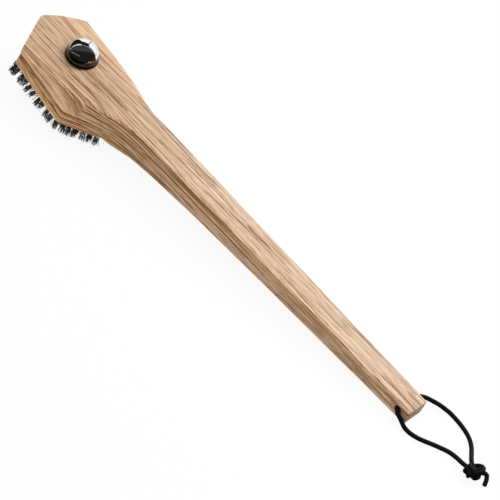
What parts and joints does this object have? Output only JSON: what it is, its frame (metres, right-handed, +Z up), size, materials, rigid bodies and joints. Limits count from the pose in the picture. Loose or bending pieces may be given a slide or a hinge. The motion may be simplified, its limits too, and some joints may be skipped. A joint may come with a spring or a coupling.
{
  "type": "grill brush",
  "caption": "Wooden grill brush: hardwood handle with a pointed head, clamped block of steel wire tufts, chrome dome nut and knotted hanging cord.",
  "frame": {"origin": "on the surface that the brush lies on, under the middle of its length and width, the cord left out", "axes": "+X along the handle from the head to the grip's end, +Y across the handle, +Z up from the surface"},
  "size_m": [0.6262, 0.0918, 0.0812],
  "materials": {
    "handle_wood": "open-pored oak, thin matt oil",
    "block_wood": "open-pored oak, unfinished",
    "dome_chrome": "polished",
    "fastener_steel": "zinc plated",
    "tuft_wire": "dark drawn steel wire",
    "cord_black": "waxed round cord"
  },
  "bodies": {
    "handle_body": {"handle": "handle_wood", "cord_near": "cord_black", "cord_far": "cord_black", "cord_knot": "cord_black", "cord_tail": "cord_black"},
    "brush_head": {"clamp_bolt": "fastener_steel", "bolt_washer": "fastener_steel", "dowel_front": "fastener_steel", "dowel_rear": "fastener_steel", "brush_block": "block_wood", "tufts_left_1_front": "tuft_wire", "tufts_left_1_rear": "tuft_wire", "tufts_left_2": "tuft_wire", "tufts_left_3": "tuft_wire", "tufts_left_4": "tuft_wire", "tufts_left_5": "tuft_wire", "tufts_right_1_front": "tuft_wire", "tufts_right_1_rear": "tuft_wire", "tufts_right_2": "tuft_wire", "tufts_right_3": "tuft_wire", "tufts_right_4": "tuft_wire", "tufts_right_5": "tuft_wire"},
    "nut_washer": {"seat_washer": "fastener_steel"},
    "dome_nut": {"dome_insert": "fastener_steel", "dome_shell": "dome_chrome"}
  },
  "joints": [
    {"name": "nut_rise", "type": "slide", "parent": "handle_body", "child": "nut_washer", "axis": [0.0946, 0, 0.9955], "range_m": [0, 0.0081]},
    {"name": "nut_turn", "type": "hinge", "parent": "nut_washer", "child": "dome_nut", "pos_m": [-0.20517, 0, 0.06272], "axis": [0.0946, 0, 0.9955], "range_deg": [0, 2880]},
    {"name": "head_off", "type": "slide", "parent": "handle_body", "child": "brush_head", "axis": [-0.0946, 0, -0.9955], "range_m": [0, 0.06]}
  ],
  "couplings": [
    {"joint": "nut_rise", "follows": "nut_turn", "m_per_rad": 0.00015915}
  ]
}
